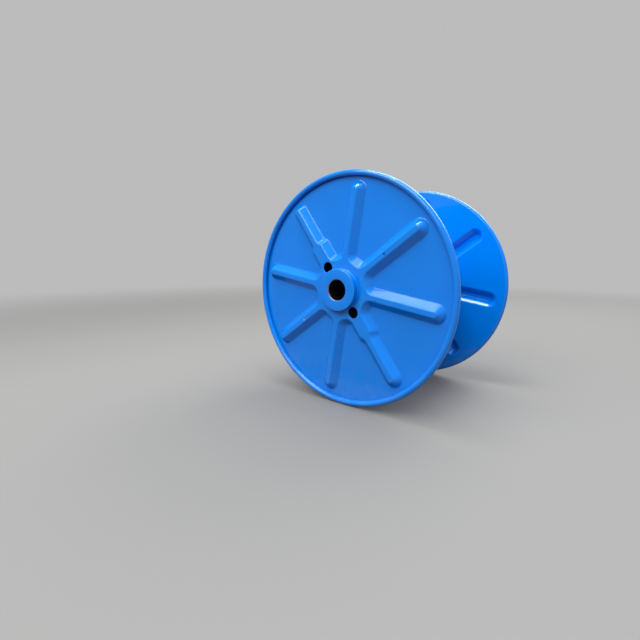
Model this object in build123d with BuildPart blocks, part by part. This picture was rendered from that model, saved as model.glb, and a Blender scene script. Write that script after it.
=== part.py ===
from build123d import *

import os
from math import cos, radians, tan

# Cable reel of pressed steel sheet: two ribbed flanges with rolled rims, a rolled barrel
# between them, a turned hub in each flange and a tube from hub to hub.
# Lengths are in millimetres and angles in degrees.
# The origin is midway between the flanges, on the centre line of the bore.
# AXLE is the plane across that line: its x is to the right, its y is up and its z points
# out of the front flange. The reel stands on its two rims.
AXLE = Plane.XZ

# Reel
flange_diameter = 630
winding_width = 400
barrel_diameter = 315
bore_diameter = 56

# Sheets
flange_sheet = 3
barrel_sheet = 3

# Rolled rim: the edge of the sheet is curled outwards and stops short of the disc
roll_radius = 8
roll_mouth = 2.5
roll_flats = 12

# Pressing: a round plateau, the ribs that run out of it and two wide tongues over them.
# Widths are those of the crest, before its edge is rounded.
press_height = 18
press_slope = 43.5
crest_radius = 6
valley_radius = 8
plateau_ledge = 23
rib_count = 8
first_rib_angle = 35.5
rib_crest_width = 14.4
rib_end_margin = 28
tongue_crest_width = 33
tongue_corner_radius = 5
tongue_end_gap = 0.5

# Hub: bore, spigot and collar, one outside the other, and the tube between the hubs
spigot_wall = 10
spigot_reach = 6
spigot_clearance = 0.25
collar_step = 18
collar_height = 16.5
collar_chamfer = 1.5
bore_chamfer = 1.5
tube_wall = 4

# Drive holes beside the collar, one at each tongue, and two holes outside the barrel where
# a wire is started
drive_hole_diameter = 30
drive_hole_gap = 0.5
drive_rib = 2
start_hole_diameter = 6
start_hole_gap = 0.5
start_rib = 0

# Worked out from the sizes above
flange_radius = flange_diameter / 2
barrel_radius = barrel_diameter / 2
bore_radius = bore_diameter / 2
roll_centre_radius = flange_radius - roll_radius
plateau_height = flange_sheet + press_height
hub_face_height = plateau_height + collar_height
tube_end_height = press_height - spigot_reach
spigot_radius = bore_radius + spigot_wall
collar_radius = spigot_radius + collar_step
plateau_crest_radius = collar_radius + plateau_ledge
rib_step = 360 / rib_count
drive_angle = first_rib_angle + drive_rib * rib_step
drive_circle_radius = collar_radius + drive_hole_gap + drive_hole_diameter / 2
start_angle = first_rib_angle + start_rib * rib_step
start_circle_radius = barrel_radius + start_hole_gap + start_hole_diameter / 2
# How far a slope runs out from crest to foot, and how much smaller the inner face of the
# sheet is drawn so that the sheet keeps its thickness there
slope_run = press_height * tan(radians(press_slope))
slope_inset = flange_sheet * (1 / cos(radians(press_slope)) - tan(radians(press_slope)))

# FRONT is the inner face of the front flange, and SECTION is a cut along the axle from it,
# with its x outwards from the centre line and its y out of the flange
FRONT = AXLE.offset(winding_width / 2)
SECTION = Plane(FRONT.origin, x_dir=FRONT.x_dir, z_dir=-FRONT.y_dir)
CENTRE_LINE = Axis(AXLE.origin, AXLE.z_dir)

os.makedirs("parts", exist_ok=True)


def pressing(face, inset):
    """Solid that fills the pressing above one face of the sheet."""
    spread = slope_run - inset
    rib_length = flange_radius - rib_end_margin - inset
    tongue_length = barrel_radius - tongue_end_gap - inset
    with BuildPart() as form:
        with BuildSketch(face):
            Circle(plateau_crest_radius + spread)
            with PolarLocations(rib_length / 2, rib_count, first_rib_angle):
                SlotOverall(rib_length, rib_crest_width + 2 * spread)
            # One band across the centre makes both tongues
            RectangleRounded(
                2 * tongue_length,
                tongue_crest_width + 2 * spread,
                tongue_corner_radius + spread,
                rotation=drive_angle,
            )
            # Out and back in again rounds the valleys and leaves the rest as drawn
            offset(amount=valley_radius + inset)
            offset(amount=-valley_radius - inset)
        extrude(amount=press_height, taper=press_slope)
    return form


outer_form = pressing(FRONT.offset(flange_sheet), 0).part
inner_form = pressing(FRONT, slope_inset).part
crest = outer_form.faces().sort_by(CENTRE_LINE)[-1]
rounded_form = fillet(crest.edges(), radius=crest_radius)

# Flange: one sheet, pressed outwards and curled at its rim
with BuildPart() as front_flange:
    with BuildSketch(FRONT):
        Circle(roll_centre_radius)
    extrude(amount=flange_sheet)
    add(rounded_form)
    add(inner_form, mode=Mode.SUBTRACT)

    with BuildSketch(SECTION):
        with Locations((roll_centre_radius, roll_radius)):
            flat_turn = 180 / roll_flats
            RegularPolygon(roll_radius, roll_flats, major_radius=False, rotation=flat_turn)
            RegularPolygon(
                roll_radius - flange_sheet,
                roll_flats,
                major_radius=False,
                rotation=flat_turn,
                mode=Mode.SUBTRACT,
            )
        with Locations((roll_centre_radius, 0)):
            Rectangle(
                2 * roll_radius,
                flange_sheet + roll_mouth,
                align=(Align.MAX, Align.MIN),
                mode=Mode.SUBTRACT,
            )
    revolve(axis=CENTRE_LINE)

    with BuildSketch(FRONT):
        Circle(spigot_radius)
        with PolarLocations(drive_circle_radius, 2, drive_angle):
            Circle(drive_hole_diameter / 2)
        with PolarLocations(start_circle_radius, 2, start_angle):
            Circle(start_hole_diameter / 2)
    extrude(amount=plateau_height, mode=Mode.SUBTRACT)

# The back flange is the same pressing, turned over
with BuildPart() as back_flange:
    mirror(front_flange.part, about=AXLE)

# Barrel: a rolled sheet that stands between the inner faces of the flanges
with BuildPart() as barrel:
    with BuildSketch(AXLE):
        Circle(barrel_radius)
        Circle(barrel_radius - barrel_sheet, mode=Mode.SUBTRACT)
    extrude(amount=winding_width / 2, both=True)

# Hub: its collar sits on the plateau and its spigot goes through it
with BuildPart() as front_hub:
    with BuildSketch(SECTION):
        with BuildLine():
            Polyline(
                (bore_radius, tube_end_height),
                (spigot_radius - spigot_clearance, tube_end_height),
                (spigot_radius - spigot_clearance, plateau_height),
                (collar_radius, plateau_height),
                (collar_radius, hub_face_height),
                (bore_radius, hub_face_height),
                close=True,
            )
        make_face()
    revolve(axis=CENTRE_LINE)
    hub_face = front_hub.faces().sort_by(CENTRE_LINE)[-1]
    collar_edge, bore_edge = hub_face.edges().sort_by(SortBy.LENGTH, reverse=True)
    chamfer(collar_edge, length=collar_chamfer)
    chamfer(bore_edge, length=bore_chamfer)

with BuildPart() as back_hub:
    mirror(front_hub.part, about=AXLE)

# Tube: it joins the hubs inside the barrel
with BuildPart() as axle_tube:
    with BuildSketch(AXLE):
        Circle(spigot_radius - spigot_clearance)
        Circle(spigot_radius - spigot_clearance - tube_wall, mode=Mode.SUBTRACT)
    extrude(amount=winding_width / 2 + tube_end_height, both=True)

pieces = {
    "front_flange": front_flange,
    "back_flange": back_flange,
    "barrel": barrel,
    "front_hub": front_hub,
    "back_hub": back_hub,
    "axle_tube": axle_tube,
}
for name, piece in pieces.items():
    piece.part.label = name
    export_step(piece.part, f"parts/{name}.step")
    print(name, round(piece.part.volume), piece.part.is_valid)
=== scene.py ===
from math import acos, asin, atan2, ceil, cos, pi, radians, sin, sqrt, tan, tau

import bmesh
import bpy
from bpy.props import FloatProperty, FloatVectorProperty, IntProperty, PointerProperty
from bpy.types import Operator, Panel, PropertyGroup
from mathutils import Matrix, Vector


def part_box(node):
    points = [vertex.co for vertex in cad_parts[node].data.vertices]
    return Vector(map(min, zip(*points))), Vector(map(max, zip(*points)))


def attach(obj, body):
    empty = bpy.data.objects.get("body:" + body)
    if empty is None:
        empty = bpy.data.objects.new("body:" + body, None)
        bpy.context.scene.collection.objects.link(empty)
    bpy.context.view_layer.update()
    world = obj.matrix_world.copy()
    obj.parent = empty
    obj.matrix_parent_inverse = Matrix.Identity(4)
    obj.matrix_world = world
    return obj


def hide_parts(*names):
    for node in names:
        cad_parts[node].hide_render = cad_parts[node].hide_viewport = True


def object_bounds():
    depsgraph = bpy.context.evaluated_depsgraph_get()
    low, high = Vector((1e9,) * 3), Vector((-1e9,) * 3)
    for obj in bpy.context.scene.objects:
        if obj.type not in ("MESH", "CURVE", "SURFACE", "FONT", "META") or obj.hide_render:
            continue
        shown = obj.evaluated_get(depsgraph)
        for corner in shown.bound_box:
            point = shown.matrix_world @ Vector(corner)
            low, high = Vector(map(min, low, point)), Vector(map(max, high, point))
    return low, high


bl_info = {
    "name": "Pressed Steel Cable Reel",
    "version": (1, 0, 0),
    "blender": (4, 5, 0),
    "location": "View3D > Sidebar > Cable Reel",
    "description": "Enamelled flanges, hubs, barrel and weld beads of a cable reel, with a stage",
    "category": "Add Mesh",
}

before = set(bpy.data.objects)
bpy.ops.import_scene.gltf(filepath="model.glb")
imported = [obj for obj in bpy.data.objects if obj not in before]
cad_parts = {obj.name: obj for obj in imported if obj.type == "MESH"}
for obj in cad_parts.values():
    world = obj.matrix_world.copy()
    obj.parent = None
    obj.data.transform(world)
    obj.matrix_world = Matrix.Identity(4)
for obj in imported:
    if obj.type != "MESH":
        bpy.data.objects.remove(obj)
CAD_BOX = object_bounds()

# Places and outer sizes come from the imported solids, in metres.
# Z is up, Y runs along the bore towards the back flange.
FLANGE_LOW, FLANGE_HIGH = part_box("front_flange")
HUB_LOW, HUB_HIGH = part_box("front_hub")
BARREL_LOW, BARREL_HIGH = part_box("barrel")
TUBE_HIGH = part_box("axle_tube")[1]
FLANGE_RADIUS = (FLANGE_HIGH.z - FLANGE_LOW.z) / 2
HALF_WINDING = -FLANGE_HIGH.y
COLLAR_RADIUS = (HUB_HIGH.z - HUB_LOW.z) / 2
SPIGOT_RADIUS = TUBE_HIGH.z
HUB_FACE = -HUB_LOW.y - HALF_WINDING
SPIGOT_END = -HUB_HIGH.y - HALF_WINDING
BARREL_RADIUS = (BARREL_HIGH.z - BARREL_LOW.z) / 2
FLOOR_HEIGHT = CAD_BOX[0].z

BODY = "root"
SAME_PLACE = 1e-6
SHARP_ANGLE = radians(40)

# A flange is drawn flat, with its inner face at height 0 and its outside upwards, and is
# then stood up at the front or, mirrored, at the back
UPRIGHT = Matrix.Rotation(pi / 2, 4, "X")
FRONT = Matrix.Translation((0, -HALF_WINDING, 0)) @ UPRIGHT
BACK = Matrix.Scale(-1, 4, (0, 1, 0)) @ FRONT
SIDES = {"front": FRONT, "back": BACK}


# Settings


def length(label, about, default):
    """A length that a user can change."""
    return FloatProperty(
        name=label,
        description=about,
        default=default,
        min=0.0,
        precision=5,
        subtype="DISTANCE",
        unit="LENGTH",
    )


def angle(label, about, degrees):
    """An angle that a user can change."""
    return FloatProperty(name=label, description=about, default=radians(degrees), subtype="ANGLE")


def share(label, about, default):
    """A share from 0 to 1 that a user can change."""
    return FloatProperty(
        name=label, description=about, default=default, min=0.0, max=1.0, subtype="FACTOR"
    )


def colour(label, about, default):
    """A colour that a user can change."""
    return FloatVectorProperty(
        name=label, description=about, default=default, min=0.0, max=1.0, size=3, subtype="COLOR"
    )


def count(label, about, default, least=1):
    """A whole number that a user can change."""
    return IntProperty(name=label, description=about, default=default, min=least)


class ReelFlangeSettings(PropertyGroup):
    sheet: length("Sheet", "Thickness of the pressed sheet", 0.003)
    press_height: length("Press Height", "How far the ribs stand out of the disc", 0.018)
    press_slope: angle("Press Slope", "How far the sides lean from square", 43.5)
    plateau_radius: length("Plateau Radius", "Foot of the round plateau", 0.0961)
    rib_count: count("Ribs", "Number of ribs", 8)
    first_rib: angle("First Rib", "Where the first rib lies", 35.5)
    rib_width: length("Rib Width", "Width at the foot of a rib", 0.0486)
    rib_reach: length("Rib Reach", "Foot of a rib's end, from the centre", 0.287)
    tongue_width: length("Tongue Width", "Width at the foot of a wide tongue", 0.0672)
    tongue_reach: length("Tongue Reach", "Foot of a tongue's end, from the centre", 0.157)
    tongue_corner: length("Tongue Corner", "Radius of a tongue's corners", 0.0221)
    drive_rib: count("Drive Rib", "The rib under the first tongue, counted from 0", 2, least=0)
    valley_radius: length("Valley Radius", "Radius where a rib runs into the plateau", 0.008)
    foot_radius: length("Foot Radius", "Bend between the disc and a side", 0.005)
    crest_radius: length("Crest Radius", "Bend between a side and the top", 0.006)
    roll_radius: length("Roll Radius", "Outer radius of the curled rim's section", 0.008)
    roll_end: angle("Roll End", "How far round the rim is curled", 290)
    drive_hole: length("Drive Hole", "Diameter of a drive hole", 0.030)
    drive_circle: length("Drive Circle", "Distance of the drive holes from the centre", 0.0715)
    start_hole: length("Start Hole", "Diameter of a hole where a wire is started", 0.006)
    start_circle: length("Start Circle", "Distance of the start holes from the centre", 0.161)
    hole_lip: length("Hole Lip", "Rounding that the enamel gives a hole's edge", 0.0007)


class ReelHubSettings(PropertyGroup):
    bore: length("Bore", "Diameter of the bore", 0.056)
    chamfer: length("Chamfer", "Chamfer of the collar and the bore", 0.0015)
    edge_radius: length("Edge Radius", "Rounding of the turned edges", 0.0004)
    wear: length("Wear", "Width of the bare ring round the bore", 0.0014)
    wear_depth: length("Wear Depth", "How deep into the bore the bare steel reaches", 0.004)


class ReelBarrelSettings(PropertyGroup):
    sheet: length("Sheet", "Thickness of the rolled sheet", 0.003)
    seam_angle: angle("Seam", "Where the sheet's long seam lies", 238)


class ReelWeldSettings(PropertyGroup):
    collar_leg: length("Collar Leg", "Leg of the bead round a collar", 0.0018)
    barrel_leg: length("Barrel Leg", "Leg of the beads at the barrel's ends", 0.0036)
    seam_width: length("Seam Width", "Width of the barrel's long bead", 0.006)
    seam_height: length("Seam Height", "Height of the barrel's long bead", 0.0012)
    ripple: length("Ripple", "Distance from one ripple to the next", 0.0026)
    ripple_depth: share("Ripple Depth", "Depth of a ripple, as a share of the leg", 0.10)


class ReelEnamelSettings(PropertyGroup):
    blue: colour("Blue", "Colour of the enamel", (0.0, 0.205, 0.776))
    roughness: share("Roughness", "Roughness of the enamel", 0.07)
    specular: share("Specular", "Strength of the enamel's gloss", 0.42)
    orange_peel: length("Orange Peel", "Height of the enamel's fine waves", 0.000012)
    sheet_waves: length("Sheet Waves", "Height of the sheet's broad waves", 0.00028)
    steel: colour("Bare Steel", "Colour of the bare steel", (0.50, 0.45, 0.41))
    rust: colour("Rust", "Colour of the first rust on bare steel", (0.23, 0.085, 0.03))
    # Near-black oil and dirt inside the bore, the barrel and the tube, dark enough to be painted
    # shade of those closed insides
    grime_and_shade: colour("Grime And Shade", "Colour of the oil and dirt inside", (0.006, 0.005, 0.006))


class ReelStageSettings(PropertyGroup):
    floor: colour("Floor", "Colour of the floor", (0.20, 0.20, 0.197))
    floor_bounce: colour("Floor Bounce", "Colour that the floor throws up", (0.05, 0.05, 0.05))
    backdrop: share("Backdrop", "Brightness of the background", 0.50)
    horizon: share("Horizon", "Strength of the soft light from the sides", 0.06)
    zenith: FloatProperty(
        name="Zenith", description="Strength of the soft light from above", default=1.5, min=0.0
    )


# Mesh helpers


def finish_piece(name, bm, materials, replaces=()):
    """Turn a bmesh into a finished piece that rides with the reel."""
    mesh = bpy.data.meshes.new(name)
    bm.to_mesh(mesh)
    bm.free()
    mesh.shade_smooth()
    mesh.set_sharp_from_angle(angle=SHARP_ANGLE)
    for material in materials:
        mesh.materials.append(material)
    piece = bpy.data.objects.new(name, mesh)
    bpy.context.scene.collection.objects.link(piece)
    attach(piece, BODY)
    if replaces:
        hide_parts(*replaces)


def draw_line(bm, start, end):
    """Draw a straight edge from a vertex to a point, and give back its far end."""
    far = bmesh.ops.extrude_vert_indiv(bm, verts=[start])["verts"][0]
    far.co = end
    return far


def draw_arc(bm, start, centre, turn, steps, axis=(0, 0, 1)):
    """Carry a vertex round an arc, and give back its far end."""
    spun = bmesh.ops.spin(bm, geom=[start], cent=centre, axis=axis, angle=turn, steps=steps)
    return next(part for part in spun["geom_last"] if isinstance(part, bmesh.types.BMVert))


def turn_full(bm, parts, centre, steps):
    """Spin a section once round an upright axis."""
    bmesh.ops.spin(
        bm, geom=parts, cent=centre, axis=(0, 0, 1), angle=tau, steps=steps, use_merge=True
    )


def close_shell(bm):
    """Join what meets and point every face outwards."""
    bmesh.ops.remove_doubles(bm, verts=bm.verts, dist=SAME_PLACE)
    bmesh.ops.recalc_face_normals(bm, faces=bm.faces)


def merge_into(bm, part):
    """Add one bmesh to another."""
    mesh = bpy.data.meshes.new("part")
    part.to_mesh(mesh)
    part.free()
    bm.from_mesh(mesh)
    bpy.data.meshes.remove(mesh)


def stand_up(bm, side):
    """Move a mesh that was drawn flat to its place at the front or the back."""
    bm.transform(SIDES[side])
    bmesh.ops.recalc_face_normals(bm, faces=bm.faces)


# Flanges

RIB_END_STEPS = 16
VALLEY_STEPS = 10
CORNER_STEPS = 6
PLATEAU_STEPS = 2
FOOT_STEPS = 5
CREST_STEPS = 6
RIM_STEPS = 216
ROLL_STEP = radians(10)
HOLE_STEPS = 48
HOLE_LIP_STEPS = 3
# A narrow strip of flat sheet beside each bend keeps the shading of the flats flat
FLAT_STRIP = 0.0004


def draw_half_rib(bm, flange, is_tongue, spread):
    """Draw the foot of half a rib and a valley, along +X, and give back where it ends."""
    half_width = flange.rib_width / 2 + spread
    reach = flange.rib_reach + spread
    valley = flange.valley_radius - spread
    plateau = flange.plateau_radius + spread
    last = bm.verts.new((reach, 0, 0))
    last = draw_arc(bm, last, (reach - half_width, 0, 0), pi / 2, RIB_END_STEPS)

    if is_tongue:
        corner = flange.tongue_corner + spread
        corner_x = flange.tongue_reach - flange.tongue_corner
        corner_y = flange.tongue_width / 2 - flange.tongue_corner
        rise = half_width + valley - corner_y
        valley_x = corner_x + sqrt((corner + valley) ** 2 - rise**2)
        bend = acos(rise / (corner + valley))
        last = draw_line(bm, last, (valley_x, half_width, 0))
        last = draw_arc(bm, last, (valley_x, half_width + valley, 0), -bend, CORNER_STEPS)
        last = draw_arc(bm, last, (corner_x, corner_y, 0), bend, CORNER_STEPS)
        half_width = flange.tongue_width / 2 + spread

    rise = half_width + valley
    valley_x = sqrt((plateau + valley) ** 2 - rise**2)
    bend = acos(rise / (plateau + valley))
    last = draw_line(bm, last, (valley_x, half_width, 0))
    return draw_arc(bm, last, (valley_x, rise, 0), -bend, VALLEY_STEPS)


def draw_foot_line(bm, flange, spread):
    """Draw the closed line round the foot of the whole pressing, and fill it with one face."""
    rib_step = tau / flange.rib_count
    ends = []
    for rib in range(flange.rib_count):
        is_tongue = rib % (flange.rib_count // 2) == flange.drive_rib
        before = set(bm.verts)
        end = draw_half_rib(bm, flange, is_tongue, spread)
        ends.append((end, atan2(end.co.y, end.co.x)))
        half = [vert for vert in bm.verts if vert not in before]
        half += list({edge for vert in half for edge in vert.link_edges})
        bmesh.ops.mirror(bm, geom=half, matrix=Matrix(), merge_dist=-1, axis="Y")
        whole = [vert for vert in bm.verts if vert not in before]
        turn = Matrix.Rotation(flange.first_rib + rib * rib_step, 3, "Z")
        bmesh.ops.rotate(bm, cent=(0, 0, 0), matrix=turn, verts=whole)
    for (end, taken), (_, next_taken) in zip(ends, ends[1:] + ends[:1]):
        draw_arc(bm, end, (0, 0, 0), rib_step - taken - next_taken, PLATEAU_STEPS)
    bmesh.ops.remove_doubles(bm, verts=bm.verts, dist=SAME_PLACE)
    face = bmesh.ops.contextual_create(bm, geom=bm.edges)["faces"][0]
    if face.normal.z < 0:
        face.normal_flip()
    return face


def press_steps(flange, lift):
    """Inset and rise of each step up the pressing, for the skin that is lift above the inner."""
    steep = pi / 2 - flange.press_slope
    foot = flange.foot_radius + flange.sheet - lift
    crest = flange.crest_radius - flange.sheet + lift
    slope_rise = flange.press_height - (foot + crest) * (1 - cos(steep))
    path = [(0, 0), (FLAT_STRIP, 0)]
    for step in range(1, FOOT_STEPS + 1):
        bend = steep * step / FOOT_STEPS
        path.append((FLAT_STRIP + foot * sin(bend), foot * (1 - cos(bend))))
    along, up = path[-1]
    along += slope_rise / tan(steep)
    up += slope_rise
    path.append((along, up))
    for step in range(1, CREST_STEPS + 1):
        bend = steep * (1 - step / CREST_STEPS)
        over = along + crest * (sin(steep) - sin(bend))
        path.append((over, up + crest * (cos(bend) - cos(steep))))
    path.append((path[-1][0] + FLAT_STRIP, path[-1][1]))
    return [(b[0] - a[0], b[1] - a[1]) for a, b in zip(path, path[1:])]


def press_skin(bm, flange, lift):
    """Press one skin of the sheet and leave its top open."""
    skin = bmesh.new()
    bend_start = flange.foot_radius * tan((pi / 2 - flange.press_slope) / 2)
    top = draw_foot_line(skin, flange, bend_start + FLAT_STRIP)
    for inset, rise in press_steps(flange, lift):
        bmesh.ops.inset_individual(
            skin, faces=[top], thickness=inset, depth=rise, use_even_offset=True
        )
    bmesh.ops.delete(skin, geom=[top], context="FACES_ONLY")
    bmesh.ops.translate(skin, vec=(0, 0, lift), verts=skin.verts)
    merge_into(bm, skin)


def curl_rim(bm, flange):
    """Curl the edge of the sheet outwards into a round rim."""
    centre_x = FLANGE_RADIUS - flange.roll_radius
    flat_x = centre_x - FLAT_STRIP
    centre = (centre_x, 0, flange.roll_radius)
    steps = ceil(flange.roll_end / ROLL_STEP)
    rim = bmesh.new()
    start = rim.verts.new((flat_x, 0, flange.sheet))
    last = draw_line(rim, start, (centre_x, 0, flange.sheet))
    last = draw_arc(rim, last, centre, -flange.roll_end, steps, axis=(0, 1, 0))
    inner_end = last.co - Vector(centre)
    outer_end = inner_end * flange.roll_radius / (flange.roll_radius - flange.sheet)
    last = draw_line(rim, last, outer_end + Vector(centre))
    last = draw_arc(rim, last, centre, flange.roll_end, steps, axis=(0, 1, 0))
    draw_line(rim, last, (flat_x, 0, 0))
    turn_full(rim, rim.verts[:] + rim.edges[:], (0, 0, 0), RIM_STEPS)
    merge_into(bm, rim)


def punch_hole(bm, flange, centre, radius):
    """Line a hole through the top of the pressing, with a soft lip on both faces."""
    low = flange.press_height
    high = low + flange.sheet
    lip = flange.hole_lip
    x, y = centre
    lining = bmesh.new()
    start = lining.verts.new((x + radius + lip, y, high))
    upper = (x + radius + lip, y, high - lip)
    last = draw_arc(lining, start, upper, -pi / 2, HOLE_LIP_STEPS, axis=(0, 1, 0))
    last = draw_line(lining, last, (x + radius, y, low + lip))
    lower = (x + radius + lip, y, low + lip)
    draw_arc(lining, last, lower, -pi / 2, HOLE_LIP_STEPS, axis=(0, 1, 0))
    turn_full(lining, lining.verts[:] + lining.edges[:], (x, y, 0), HOLE_STEPS)
    merge_into(bm, lining)


def fill_level(bm, height):
    """Fill the flat sheet at one height, round the holes in it."""
    rims = [
        edge
        for edge in bm.edges
        if edge.is_boundary and all(abs(v.co.z - height) < SAME_PLACE for v in edge.verts)
    ]
    bmesh.ops.triangle_fill(bm, use_beauty=True, edges=rims, normal=(0, 0, 1))


def make_flange(side):
    """Press, curl and punch one flange."""
    flange = bpy.context.scene.reel_flange
    bm = bmesh.new()
    press_skin(bm, flange, 0)
    press_skin(bm, flange, flange.sheet)
    curl_rim(bm, flange)
    punch_hole(bm, flange, (0, 0), SPIGOT_RADIUS)
    drive_angle = flange.first_rib + flange.drive_rib * tau / flange.rib_count
    for turn in (0, pi):
        for hole, circle, place in (
            (flange.drive_hole, flange.drive_circle, drive_angle + turn),
            (flange.start_hole, flange.start_circle, flange.first_rib + turn),
        ):
            centre = (circle * cos(place), circle * sin(place))
            punch_hole(bm, flange, centre, hole / 2)
    bmesh.ops.remove_doubles(bm, verts=bm.verts, dist=SAME_PLACE)
    for height in (0, flange.sheet, flange.press_height, flange.press_height + flange.sheet):
        fill_level(bm, height)
    close_shell(bm)
    stand_up(bm, side)
    name = f"{side}_flange_sheet"
    finish_piece(name, bm, [blue_enamel()], [f"{side}_flange"])


class REEL_OT_flanges(Operator):
    """Make the two pressed flanges"""

    bl_idname = "reel.flanges"
    bl_label = "Flanges"

    def execute(self, context):
        for side in SIDES:
            make_flange(side)
        return {"FINISHED"}


# Hubs

HUB_STEPS = 128
HUB_EDGE_STEPS = 3


def make_hub(side):
    """Turn one hub: a collar with a spigot under it and the bore through both."""
    hub = bpy.context.scene.reel_hub
    flange = bpy.context.scene.reel_flange
    bore = hub.bore / 2
    seat = flange.press_height + flange.sheet
    corners = [
        (bore, SPIGOT_END),
        (SPIGOT_RADIUS, SPIGOT_END),
        (SPIGOT_RADIUS, seat),
        (COLLAR_RADIUS, seat),
        (COLLAR_RADIUS, HUB_FACE - hub.chamfer),
        (COLLAR_RADIUS - hub.chamfer, HUB_FACE),
        (bore + hub.chamfer, HUB_FACE),
        (bore, HUB_FACE - hub.chamfer),
    ]
    bm = bmesh.new()
    first = bm.verts.new((corners[0][0], 0, corners[0][1]))
    last = first
    for x, z in corners[1:]:
        last = draw_line(bm, last, (x, 0, z))
    bm.edges.new((last, first))
    turn_full(bm, bm.verts[:] + bm.edges[:], (0, 0, 0), HUB_STEPS)
    close_shell(bm)
    creases = [edge for edge in bm.edges if edge.calc_face_angle() > SHARP_ANGLE / 2]
    bmesh.ops.bevel(
        bm,
        geom=creases,
        offset=hub.edge_radius,
        segments=HUB_EDGE_STEPS,
        profile=0.5,
        affect="EDGES",
        material=-1,
    )
    stand_up(bm, side)
    finish_piece(f"{side}_hub_turned", bm, [hub_enamel()], [f"{side}_hub"])


class REEL_OT_hubs(Operator):
    """Make the two turned hubs"""

    bl_idname = "reel.hubs"
    bl_label = "Hubs"

    def execute(self, context):
        for side in SIDES:
            make_hub(side)
        return {"FINISHED"}


# Barrel and tube

BARREL_STEPS = 180


class REEL_OT_barrel(Operator):
    """Roll the barrel between the flanges"""

    bl_idname = "reel.barrel"
    bl_label = "Barrel"

    def execute(self, context):
        barrel = context.scene.reel_barrel
        bm = bmesh.new()
        bmesh.ops.create_circle(bm, radius=BARREL_RADIUS, segments=BARREL_STEPS)
        bmesh.ops.translate(bm, vec=(0, 0, -HALF_WINDING), verts=bm.verts)
        grown = bmesh.ops.extrude_edge_only(bm, edges=bm.edges)["geom"]
        top = [part for part in grown if isinstance(part, bmesh.types.BMVert)]
        bmesh.ops.translate(bm, vec=(0, 0, 2 * HALF_WINDING), verts=top)
        bmesh.ops.recalc_face_normals(bm, faces=bm.faces)
        bmesh.ops.solidify(bm, geom=bm.faces, thickness=barrel.sheet)
        close_shell(bm)
        # The barrel's inside faces take the near-black grime, which is dirt and also painted shade
        # of the closed barrel
        for face in bm.faces:
            is_inside = face.normal.xy.dot(face.calc_center_median().xy) < 0
            face.material_index = int(is_inside)
        bm.transform(UPRIGHT)
        finishes = [blue_enamel(), bore_grime()]
        finish_piece("barrel_sheet", bm, finishes, ["barrel"])
        return {"FINISHED"}


class REEL_OT_axle_tube(Operator):
    """Paint the tube inside the barrel near-black, with oil and dirt and with painted shade"""

    bl_idname = "reel.axle_tube"
    bl_label = "Axle Tube"

    def execute(self, context):
        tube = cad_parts["axle_tube"]
        tube.data.materials.clear()
        # The near-black grime is painted shade inside the closed barrel as well as oil and dirt
        tube.data.materials.append(bore_grime())
        return {"FINISHED"}


# Weld beads

RIPPLE_STEPS = 4
BEAD_STEPS = 6
SEAM_STEPS = 8
# How deep the edges of the barrel's long bead lie in the sheet
SEAM_SINK = 0.0002


def ripple_swell(weld, distance):
    """How much a bead swells at a distance along it, from 1 at a crest."""
    phase = (distance / weld.ripple) % 1
    return 1 - weld.ripple_depth * phase**2


def draw_bead(bm, weld, radius, height, leg, start, sweep, lean):
    """Lay a fillet bead round the foot of a round wall, from one angle through another.

    The wall stands at the radius, the bead lies outside it, and lean is 1 where the sheet it
    lies on is below the bead and -1 where that is above. A bead that isn't a whole ring runs
    out at each end over twice its leg.
    """
    bead = bmesh.new()
    corner = (radius, 0, height)
    tip = bead.verts.new((radius + leg, 0, height))
    last = draw_arc(bead, tip, corner, -lean * pi / 2, BEAD_STEPS, axis=(0, 1, 0))
    last = draw_line(bead, last, corner)
    bead.edges.new((last, tip))
    steps = ceil(sweep * radius / weld.ripple) * RIPPLE_STEPS
    is_ring = sweep > tau - SAME_PLACE
    bmesh.ops.rotate(
        bead, cent=(0, 0, 0), matrix=Matrix.Rotation(start, 3, "Z"), verts=bead.verts
    )
    bmesh.ops.spin(
        bead,
        geom=bead.verts[:] + bead.edges[:],
        cent=(0, 0, 0),
        axis=(0, 0, 1),
        angle=sweep,
        steps=steps,
        use_merge=is_ring,
    )
    for vert in bead.verts:
        around = (atan2(vert.co.y, vert.co.x) - start) % tau
        along = around * radius
        size = ripple_swell(weld, along)
        if not is_ring:
            from_end = min(along, sweep * radius - along) - SAME_PLACE
            run_out = min(max(from_end, 0) / (2 * leg), 1)
            size *= sqrt(run_out * (2 - run_out))
        reach = vert.co.xy.length
        vert.co.xy *= (radius + (reach - radius) * size) / reach
        vert.co.z = height + (vert.co.z - height) * size
    close_shell(bead)
    merge_into(bm, bead)


def draw_seam(bm, weld, barrel):
    """Lay a low bead along the barrel, which stands upright, where its sheet meets itself."""
    half_width = weld.seam_width / 2
    arc_radius = (half_width**2 + weld.seam_height**2) / (2 * weld.seam_height)
    bend = asin(half_width / arc_radius)
    centre_x = BARREL_RADIUS - SEAM_SINK + weld.seam_height - arc_radius
    start = bm.verts.new((centre_x + arc_radius * cos(bend), -half_width, -HALF_WINDING))
    last = draw_arc(bm, start, (centre_x, 0, -HALF_WINDING), 2 * bend, SEAM_STEPS)
    bm.edges.new((last, start))
    steps = ceil(2 * HALF_WINDING / weld.ripple) * RIPPLE_STEPS
    bmesh.ops.contextual_create(bm, geom=bm.edges)
    bmesh.ops.spin(
        bm,
        geom=bm.verts[:] + bm.edges[:] + bm.faces[:],
        axis=(0, 0, 1),
        dvec=(0, 0, 2 * HALF_WINDING / steps),
        angle=0,
        steps=steps,
    )
    for vert in bm.verts:
        proud = vert.co.x - BARREL_RADIUS
        vert.co.x = BARREL_RADIUS + proud * ripple_swell(weld, vert.co.z + HALF_WINDING)
    close_shell(bm)
    turn = Matrix.Rotation(barrel.seam_angle, 3, "Z")
    bmesh.ops.rotate(bm, cent=(0, 0, 0), matrix=turn, verts=bm.verts)


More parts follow.
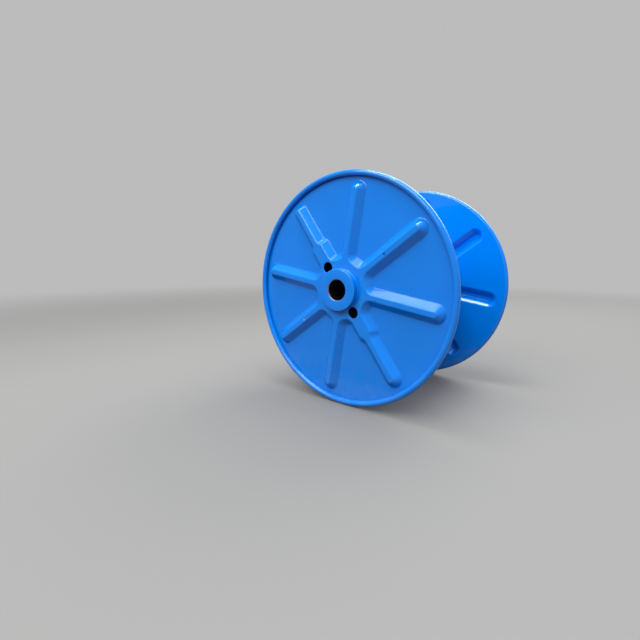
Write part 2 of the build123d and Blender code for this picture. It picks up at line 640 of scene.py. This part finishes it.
class REEL_OT_collar_welds(Operator):
    """Lay a bead round each collar"""

    bl_idname = "reel.collar_welds"
    bl_label = "Collar Welds"

    def execute(self, context):
        weld = context.scene.reel_weld
        flange = context.scene.reel_flange
        seat = flange.press_height + flange.sheet
        for side in SIDES:
            bm = bmesh.new()
            draw_bead(bm, weld, COLLAR_RADIUS, seat, weld.collar_leg, 0, tau, 1)
            stand_up(bm, side)
            finish_piece(f"{side}_collar_weld", bm, [weld_enamel()])
        return {"FINISHED"}


class REEL_OT_barrel_welds(Operator):
    """Lay the beads between the barrel and the flanges, and the barrel's long seam"""

    bl_idname = "reel.barrel_welds"
    bl_label = "Barrel Welds"

    def execute(self, context):
        weld = context.scene.reel_weld
        flange = context.scene.reel_flange
        rib_step = tau / flange.rib_count
        half_groove = flange.rib_width / 2 + flange.foot_radius
        groove = 2 * asin(half_groove / BARREL_RADIUS)
        for side in SIDES:
            bm = bmesh.new()
            for rib in range(flange.rib_count):
                start = flange.first_rib + rib * rib_step + groove / 2
                sweep = rib_step - groove
                draw_bead(bm, weld, BARREL_RADIUS, 0, weld.barrel_leg, start, sweep, -1)
            stand_up(bm, side)
            finish_piece(f"{side}_barrel_weld", bm, [weld_enamel()])
        bm = bmesh.new()
        draw_seam(bm, weld, context.scene.reel_barrel)
        bm.transform(UPRIGHT)
        finish_piece("barrel_seam_weld", bm, [weld_enamel()])
        return {"FINISHED"}


# Shader helpers


def add_node(tree, kind, place, inputs=None, **settings):
    """Add a shader node with its settings and the values or links of its inputs."""
    node = tree.nodes.new(kind)
    node.location = place
    for key, value in settings.items():
        setattr(node, key, value)
    for key, value in (inputs or {}).items():
        if isinstance(value, bpy.types.NodeSocket):
            tree.links.new(value, node.inputs[key])
        else:
            node.inputs[key].default_value = value
    return node


def add_math(tree, place, operation, *values, **settings):
    """Add a math node with its values or links, and give back its result."""
    inputs = dict(enumerate(values))
    node = add_node(tree, "ShaderNodeMath", place, inputs, operation=operation, **settings)
    return node.outputs[0]


def add_noise(tree, place, vector, scale, detail, roughness=0.5):
    """Add a cloudy pattern, and give back its strength."""
    inputs = {"Vector": vector, "Scale": scale, "Detail": detail, "Roughness": roughness}
    return add_node(tree, "ShaderNodeTexNoise", place, inputs).outputs["Fac"]


def add_range(tree, place, value, start, end, first=0.0, last=1.0, **settings):
    """Carry a value from one range over to another: start gives first, and end gives last."""
    inputs = {
        "Value": value,
        "From Min": start,
        "From Max": end,
        "To Min": first,
        "To Max": last,
    }
    return add_node(tree, "ShaderNodeMapRange", place, inputs, **settings).outputs["Result"]


def new_group(name, inputs, outputs):
    """Start a shader node group with named inputs, their defaults, and outputs."""
    tree = bpy.data.node_groups.new(name, "ShaderNodeTree")
    for label, kind, default in inputs:
        socket = tree.interface.new_socket(name=label, in_out="INPUT", socket_type=kind)
        if default is not None:
            socket.default_value = default
    for label, kind in outputs:
        tree.interface.new_socket(name=label, in_out="OUTPUT", socket_type=kind)
    inlet = add_node(tree, "NodeGroupInput", (-900, 0))
    outlet = add_node(tree, "NodeGroupOutput", (600, 0))
    return tree, inlet.outputs, outlet.inputs


def place_group(tree, group, place, inputs):
    """Put a node group in a material, with its own values."""
    return add_node(tree, "ShaderNodeGroup", place, inputs, node_tree=group)


def paint_film_group():
    """Fine waves, broad waves and specks of a sprayed enamel film."""
    name = "Paint Film"
    if name in bpy.data.node_groups:
        return bpy.data.node_groups[name]
    tree, given, out = new_group(
        name,
        [
            ("Vector", "NodeSocketVector", None),
            ("Fine Height", "NodeSocketFloat", 0.00002),
            ("Broad Height", "NodeSocketFloat", 0.0004),
        ],
        [("Height", "NodeSocketFloat"), ("Shade", "NodeSocketFloat"), ("Speck", "NodeSocketFloat")],
    )
    vector = given["Vector"]
    fine = add_noise(tree, (-600, 200), vector, scale=260.0, detail=2.0, roughness=0.45)
    broad = add_noise(tree, (-600, -50), vector, scale=14.0, detail=1.0, roughness=0.4)
    specks = add_node(
        tree, "ShaderNodeTexVoronoi", (-600, -300), {"Vector": vector, "Scale": 42.0}
    )
    speck_size = add_noise(tree, (-600, -550), vector, scale=11.0, detail=0.0)
    fine_height = add_math(tree, (-300, 200), "MULTIPLY", fine, given["Fine Height"])
    broad_height = add_math(tree, (-300, 0), "MULTIPLY", broad, given["Broad Height"])
    height = add_math(tree, (-50, 100), "ADD", fine_height, broad_height)
    reach = add_range(tree, (-300, -500), speck_size, start=0.62, end=0.80, last=0.12)
    speck = add_math(tree, (-50, -300), "LESS_THAN", specks.outputs["Distance"], reach)
    tree.links.new(height, out["Height"])
    tree.links.new(broad, out["Shade"])
    tree.links.new(speck, out["Speck"])
    return tree


def dust_group():
    """Thin dust that settles on what faces up and near the floor."""
    name = "Settled Dust"
    if name in bpy.data.node_groups:
        return bpy.data.node_groups[name]
    tree, given, out = new_group(
        name,
        [("Vector", "NodeSocketVector", None), ("Amount", "NodeSocketFloat", 0.1)],
        [("Mask", "NodeSocketFloat")],
    )
    geometry = add_node(tree, "ShaderNodeNewGeometry", (-700, 300))
    normal = add_node(
        tree, "ShaderNodeSeparateXYZ", (-500, 300), {"Vector": geometry.outputs["Normal"]}
    )
    place = add_node(tree, "ShaderNodeSeparateXYZ", (-500, 50), {"Vector": given["Vector"]})
    facing_up = add_range(tree, (-300, 300), normal.outputs["Z"], start=0.78, end=1.0)
    near_floor = add_range(
        tree, (-300, 50), place.outputs["Z"], start=-0.31, end=-0.17, first=0.8, last=0.0
    )
    cloud = add_noise(
        tree, (-500, -200), given["Vector"], scale=22.0, detail=5.0, roughness=0.62
    )
    patches = add_range(tree, (-300, -200), cloud, start=0.35, end=0.75)
    where = add_math(tree, (-50, 200), "MAXIMUM", facing_up, near_floor)
    uneven = add_math(tree, (150, 100), "MULTIPLY", where, patches)
    amount = add_math(tree, (350, 100), "MULTIPLY", uneven, given["Amount"])
    tree.links.new(amount, out["Mask"])
    return tree


# How far the edge of the grime and painted shade in the bore wanders
GRIME_AND_SHADE_WANDER = 0.004


def bare_ring_and_shade_group():
    """Ragged ring round the bore where the enamel is worn off, with grime farther in that is also
    painted shade of the deep bore.
    """
    name = "Bare Ring"
    if name in bpy.data.node_groups:
        return bpy.data.node_groups[name]
    tree, given, out = new_group(
        name,
        [
            ("Vector", "NodeSocketVector", None),
            ("Radius", "NodeSocketFloat", 0.03),
            ("Raggedness", "NodeSocketFloat", 0.001),
            ("Painted Shade Start", "NodeSocketFloat", 0.23),
        ],
        [("Mask", "NodeSocketFloat"), ("Rust", "NodeSocketFloat"), ("Grime And Shade", "NodeSocketFloat")],
    )
    across = add_node(
        tree,
        "ShaderNodeVectorMath",
        (-600, 200),
        {0: given["Vector"], 1: (1, 0, 1)},
        operation="MULTIPLY",
    )
    distance = add_node(
        tree, "ShaderNodeVectorMath", (-400, 200), {0: across.outputs[0]}, operation="LENGTH"
    )
    vector = given["Vector"]
    chips = add_noise(tree, (-600, -50), vector, scale=160.0, detail=4.0, roughness=0.6)
    edge = add_math(
        tree, (-400, -50), "MULTIPLY_ADD", chips, given["Raggedness"], given["Radius"]
    )
    mask = add_math(tree, (-150, 100), "LESS_THAN", distance.outputs["Value"], edge)
    bloom = add_noise(tree, (-600, -300), vector, scale=75.0, detail=6.0, roughness=0.65)
    rust = add_range(tree, (-400, -300), bloom, start=0.42, end=0.62)
    # Past a depth along the bore the steel is painted near-black: grime, and painted shade of the
    # deep bore
    place = add_node(tree, "ShaderNodeSeparateXYZ", (-600, -550), {"Vector": vector})
    along = add_math(tree, (-400, -550), "ABSOLUTE", place.outputs["Y"])
    uneven = add_math(tree, (-200, -550), "MULTIPLY_ADD", bloom, GRIME_AND_SHADE_WANDER, along)
    grime_and_shade = add_math(tree, (0, -550), "LESS_THAN", uneven, given["Painted Shade Start"])
    tree.links.new(mask, out["Mask"])
    tree.links.new(rust, out["Rust"])
    tree.links.new(grime_and_shade, out["Grime And Shade"])
    return tree


# Materials

# Tones of the enamel, as shares of its blue, and how high its fine waves are on a weld bead,
# as a share of their height on the sheet
DEEP_TONE = 0.90
SPECK_TONE = 0.2
BEAD_WAVES = 2.0
DUST_COLOUR = (0.42, 0.47, 0.50)
DUST_AMOUNT = 0.16
DUST_ROUGHNESS = 0.5
WORN_ROUGHNESS = 0.42
# The grime inside is near-black, with patches of a darker tone, and is painted shade as well as oil
# and dirt
GRIME_AND_SHADE_TONE = 0.6
GRIME_AND_SHADE_ROUGHNESS = 0.6
GRIME_AND_SHADE_SPECULAR = 0.2


def tint(full, tone):
    """A colour, darkened to a share of itself."""
    return tuple(part * tone for part in full)


def start_material(name):
    """A new node material with its shader, output and object coordinates."""
    material = bpy.data.materials.new(name)
    material.use_nodes = True
    tree = material.node_tree
    shader = tree.nodes["Principled BSDF"]
    place = add_node(tree, "ShaderNodeTexCoord", (-1200, 0)).outputs["Object"]
    return material, tree, shader, place


def mix_colours(tree, place, factor, first, second):
    """Mix two colours, each a value or a link, and give back the result."""
    mix = add_node(tree, "ShaderNodeMix", place, data_type="RGBA")
    sockets = {"factor": mix.inputs[0], "first": mix.inputs[6], "second": mix.inputs[7]}
    for key, value in {"factor": factor, "first": first, "second": second}.items():
        if isinstance(value, bpy.types.NodeSocket):
            tree.links.new(value, sockets[key])
        elif key == "factor":
            sockets[key].default_value = value
        else:
            sockets[key].default_value = (*value, 1)
    return mix.outputs[2]


def coat(tree, shader, place, waves):
    """Give a shader the enamel's film, tone, specks and dust.

    The colour and the roughness are given back, so that wear can be laid over them.
    """
    enamel = bpy.context.scene.reel_enamel
    film = place_group(
        tree,
        paint_film_group(),
        (-950, 200),
        {
            "Vector": place,
            "Fine Height": enamel.orange_peel * waves,
            "Broad Height": enamel.sheet_waves,
        },
    )
    dust = place_group(
        tree, dust_group(), (-950, -150), {"Vector": place, "Amount": DUST_AMOUNT}
    )
    shade = film.outputs["Shade"]
    speck = film.outputs["Speck"]
    mask = dust.outputs["Mask"]
    blue = tuple(enamel.blue)
    tone = mix_colours(tree, (-700, 300), shade, tint(blue, DEEP_TONE), blue)
    speckled = mix_colours(tree, (-500, 300), speck, tone, tint(blue, SPECK_TONE))
    dusted = mix_colours(tree, (-300, 300), mask, speckled, DUST_COLOUR)
    roughness = add_range(
        tree, (-300, 0), mask, start=0.0, end=0.3, first=enamel.roughness, last=DUST_ROUGHNESS
    )
    bump = add_node(
        tree,
        "ShaderNodeBump",
        (-300, -300),
        {"Strength": 1.0, "Distance": 1.0, "Height": film.outputs["Height"]},
    )
    shader.inputs["Specular IOR Level"].default_value = enamel.specular
    tree.links.new(dusted, shader.inputs["Base Color"])
    tree.links.new(roughness, shader.inputs["Roughness"])
    tree.links.new(bump.outputs["Normal"], shader.inputs["Normal"])
    return dusted, roughness


def enamel_material(name, waves):
    """Glossy enamel over steel."""
    if name in bpy.data.materials:
        return bpy.data.materials[name]
    material, tree, shader, place = start_material(name)
    coat(tree, shader, place, waves)
    return material


def blue_enamel():
    """The enamel on the pressed and rolled sheet."""
    return enamel_material("sheet_enamel", 1.0)


def weld_enamel():
    """The same enamel over a weld bead, where it lies thicker."""
    return enamel_material("bead_enamel", BEAD_WAVES)


def hub_enamel():
    """Enamel on the turned hub, worn to bare steel round the bore, with near-black grime deeper in
    the bore that is painted shade.
    """
    name = "turned_enamel"
    if name in bpy.data.materials:
        return bpy.data.materials[name]
    material, tree, shader, place = start_material(name)
    enamel = bpy.context.scene.reel_enamel
    hub = bpy.context.scene.reel_hub
    painted, roughness = coat(tree, shader, place, 1.0)
    ring = place_group(
        tree,
        bare_ring_and_shade_group(),
        (-950, -450),
        {
            "Vector": place,
            "Radius": hub.bore / 2,
            "Raggedness": hub.wear,
            # Where the painted shade of the deep bore starts, past the bare steel at its mouth
            "Painted Shade Start": -HUB_LOW.y - hub.wear_depth + GRIME_AND_SHADE_WANDER / 2,
        },
    )
    bare = ring.outputs["Mask"]
    rust = ring.outputs["Rust"]
    grime_and_shade = ring.outputs["Grime And Shade"]
    steel = mix_colours(tree, (-500, -500), rust, tuple(enamel.steel), tuple(enamel.rust))
    # Deeper in, the bare steel turns into near-black grime, which is painted shade of the bore
    worn_and_shaded = mix_colours(tree, (-300, -500), grime_and_shade, steel, tuple(enamel.grime_and_shade))
    shown = mix_colours(tree, (-50, 300), bare, painted, worn_and_shaded)
    dull = add_math(tree, (-500, -750), "MAXIMUM", rust, grime_and_shade)
    metal = add_math(tree, (-300, -750), "SUBTRACT", bare, dull, use_clamp=True)
    rough = add_node(
        tree,
        "ShaderNodeMix",
        (-50, 0),
        {"Factor": bare, "A": roughness, "B": WORN_ROUGHNESS},
    )
    tree.links.new(shown, shader.inputs["Base Color"])
    tree.links.new(metal, shader.inputs["Metallic"])
    tree.links.new(rough.outputs[0], shader.inputs["Roughness"])
    return material


def bore_grime():
    """Steel under oil and dirt, inside the barrel and the axle tube, made near-black so that it is
    also painted shade of these closed insides.
    """
    name = "bore_grime"
    if name in bpy.data.materials:
        return bpy.data.materials[name]
    material, tree, shader, place = start_material(name)
    grime_and_shade = tuple(bpy.context.scene.reel_enamel.grime_and_shade)
    cloud = add_noise(tree, (-700, 0), place, scale=30.0, detail=4.0, roughness=0.6)
    shown = mix_colours(tree, (-300, 300), cloud, tint(grime_and_shade, GRIME_AND_SHADE_TONE), grime_and_shade)
    tree.links.new(shown, shader.inputs["Base Color"])
    shader.inputs["Roughness"].default_value = GRIME_AND_SHADE_ROUGHNESS
    shader.inputs["Specular IOR Level"].default_value = GRIME_AND_SHADE_SPECULAR
    return material


# Stage

# The camera, fitted to the outlines of the two flanges
CAMERA_PLACE = Vector((0.5979, -1.0370, 0.0847))
CAMERA_HEADING = radians(39.229)
CAMERA_DIP = radians(4.271)
CAMERA_LENS = 21.37
CAMERA_SENSOR = 36
CAMERA_SHIFT = (-0.0003, -0.0526)
FLOOR_REACH = 9
FLOOR_STEPS = 96
# Where the floor starts to fade into the background, and where it has
FADE_START = 1.2
FADE_END = 5.0
# The soft light comes from above and leans to the right
SKY_LEAN = Vector((0.36, 0, 0.93)).normalized()
# Each lamp's place, what it points at, its width and depth, and its power in watts
LAMPS = {
    "roof_light": ((0, 0, 2.4), (0, 0, 0), (1.8, 2.3), 34),
    "roof_core": ((-0.24, -0.42, 2.38), (-0.24, -0.42, 0), (0.88, 0.6), 26),
    "front_light": ((-0.39, -2.48, 2.14), (0, 0, 0), (2.5, 2.3), 85),
    "back_light": ((0.39, 2.48, 2.14), (0, 0, 0), (2.5, 2.3), 85),
}


def seen_directly(tree, place):
    """Put out 1 for rays from the camera, from a mirror or through glass, and 0 for others."""
    x, y = place
    path = add_node(tree, "ShaderNodeLightPath", place)
    camera_ray = path.outputs["Is Camera Ray"]
    mirrored = add_math(
        tree, (x + 180, y), "MAXIMUM", camera_ray, path.outputs["Is Glossy Ray"]
    )
    through = path.outputs["Is Transmission Ray"]
    return add_math(tree, (x + 360, y), "MAXIMUM", mirrored, through)


def floor_material(stage):
    """Floor that keeps the reel's shadow and fades into the background."""
    material = bpy.data.materials.new("stage_floor")
    material.use_nodes = True
    tree = material.node_tree
    tree.nodes.remove(tree.nodes["Principled BSDF"])
    output = tree.nodes["Material Output"]
    seen = seen_directly(tree, (-900, 400))
    shown = mix_colours(tree, (-500, 400), seen, stage.floor_bounce, stage.floor)
    surface = add_node(tree, "ShaderNodeBsdfDiffuse", (-250, 400), {"Color": shown})
    far = add_node(
        tree, "ShaderNodeEmission", (-250, 200), {"Color": (stage.backdrop,) * 3 + (1,)}
    )
    place = add_node(tree, "ShaderNodeTexCoord", (-900, 0)).outputs["Object"]
    distance = add_node(
        tree, "ShaderNodeVectorMath", (-700, 0), {0: place}, operation="LENGTH"
    )
    fade = add_range(
        tree,
        (-500, 0),
        distance.outputs["Value"],
        start=FADE_START,
        end=FADE_END,
        interpolation_type="SMOOTHSTEP",
    )
    faded = add_math(tree, (-300, 0), "MULTIPLY", fade, seen)
    mix = add_node(
        tree,
        "ShaderNodeMixShader",
        (0, 300),
        {0: faded, 1: surface.outputs[0], 2: far.outputs[0]},
    )
    tree.links.new(mix.outputs[0], output.inputs["Surface"])
    return material


def light_world(stage):
    """Soft light from above and the right, with a pale backdrop wherever the world is seen."""
    world = bpy.data.worlds.new("studio")
    bpy.context.scene.world = world
    world.use_nodes = True
    tree = world.node_tree
    background = tree.nodes["Background"]
    ray = add_node(tree, "ShaderNodeTexCoord", (-800, 0)).outputs["Generated"]
    leaning = add_node(
        tree,
        "ShaderNodeVectorMath",
        (-600, 0),
        {0: ray, 1: SKY_LEAN},
        operation="DOT_PRODUCT",
    )
    rise = add_range(
        tree,
        (-400, 0),
        leaning.outputs["Value"],
        start=0.05,
        end=0.85,
        first=stage.horizon,
        last=stage.zenith,
    )
    seen = seen_directly(tree, (-800, -300))
    strength = add_node(
        tree,
        "ShaderNodeMix",
        (-200, 0),
        {"Factor": seen, "A": rise, "B": stage.backdrop},
    )
    tree.links.new(strength.outputs[0], background.inputs["Strength"])
    background.inputs["Color"].default_value = (1, 1, 1, 1)


def set_up(thing, place, direction):
    """Put a lamp or a camera in its place and point it along a direction."""
    thing.location = place
    thing.rotation_mode = "QUATERNION"
    thing.rotation_quaternion = direction.to_track_quat("-Z", "Y")
    bpy.context.scene.collection.objects.link(thing)


def lay_floor(stage):
    """Lay the floor that the reel stands on."""
    bm = bmesh.new()
    bmesh.ops.create_circle(bm, cap_ends=True, radius=FLOOR_REACH, segments=FLOOR_STEPS)
    bmesh.ops.translate(bm, vec=(0, 0, FLOOR_HEIGHT), verts=bm.verts)
    mesh = bpy.data.meshes.new("stage_floor")
    bm.to_mesh(mesh)
    bm.free()
    mesh.materials.append(floor_material(stage))
    floor = bpy.data.objects.new("stage_floor", mesh)
    bpy.context.scene.collection.objects.link(floor)


def add_lamp(name, place, target, size, power):
    """An area lamp that points at a target and stays out of the camera's view."""
    data = bpy.data.lights.new(name, "AREA")
    data.shape = "RECTANGLE"
    data.size, data.size_y = size
    data.energy = power
    lamp = bpy.data.objects.new(name, data)
    lamp.visible_camera = False
    set_up(lamp, place, Vector(target) - Vector(place))


def add_camera():
    """The camera that looks at the reel from the front and the right."""
    data = bpy.data.cameras.new("camera")
    data.lens = CAMERA_LENS
    data.sensor_width = CAMERA_SENSOR
    data.shift_x, data.shift_y = CAMERA_SHIFT
    camera = bpy.data.objects.new("camera", data)
    x = -sin(CAMERA_HEADING) * cos(CAMERA_DIP)
    y = cos(CAMERA_HEADING) * cos(CAMERA_DIP)
    z = -sin(CAMERA_DIP)
    set_up(camera, CAMERA_PLACE, Vector((x, y, z)))
    bpy.context.scene.camera = camera


class REEL_OT_stage(Operator):
    """Make the floor, the lights and the camera"""

    bl_idname = "reel.stage"
    bl_label = "Stage"

    def execute(self, context):
        stage = context.scene.reel_stage
        context.scene.view_settings.view_transform = "Standard"
        lay_floor(stage)
        light_world(stage)
        for name, (place, target, size, power) in LAMPS.items():
            add_lamp(name, place, target, size, power)
        add_camera()
        return {"FINISHED"}


# Panel and registration


class REEL_PT_sidebar(Panel):
    """Sizes, colours and pieces of the reel"""

    bl_idname = "REEL_PT_sidebar"
    bl_label = "Cable Reel"
    bl_space_type = "VIEW_3D"
    bl_region_type = "UI"
    bl_category = "Cable Reel"

    def draw(self, context):
        layout = self.layout
        for group in SETTINGS:
            settings = getattr(context.scene, group)
            box = layout.box()
            for key in settings.bl_rna.properties.keys():
                if key not in ("rna_type", "name"):
                    box.prop(settings, key)
        for operator in OPERATORS:
            layout.operator(operator.bl_idname)


SETTINGS = {
    "reel_flange": ReelFlangeSettings,
    "reel_hub": ReelHubSettings,
    "reel_barrel": ReelBarrelSettings,
    "reel_weld": ReelWeldSettings,
    "reel_enamel": ReelEnamelSettings,
    "reel_stage": ReelStageSettings,
}
OPERATORS = (
    REEL_OT_stage,
    REEL_OT_flanges,
    REEL_OT_hubs,
    REEL_OT_barrel,
    REEL_OT_axle_tube,
    REEL_OT_collar_welds,
    REEL_OT_barrel_welds,
)


def register():
    for settings_class in SETTINGS.values():
        bpy.utils.register_class(settings_class)
    for operator in OPERATORS:
        bpy.utils.register_class(operator)
    bpy.utils.register_class(REEL_PT_sidebar)
    for group, settings_class in SETTINGS.items():
        setattr(bpy.types.Scene, group, PointerProperty(type=settings_class))


def unregister():
    for group in SETTINGS:
        delattr(bpy.types.Scene, group)
    bpy.utils.unregister_class(REEL_PT_sidebar)
    for operator in reversed(OPERATORS):
        bpy.utils.unregister_class(operator)
    for settings_class in reversed(list(SETTINGS.values())):
        bpy.utils.unregister_class(settings_class)


def main():
    """Make every piece."""
    register()
    bpy.ops.reel.stage()
    bpy.ops.reel.flanges()
    bpy.ops.reel.hubs()
    bpy.ops.reel.barrel()
    bpy.ops.reel.axle_tube()
    bpy.ops.reel.collar_welds()
    bpy.ops.reel.barrel_welds()


if __name__ == "__main__":
    main()
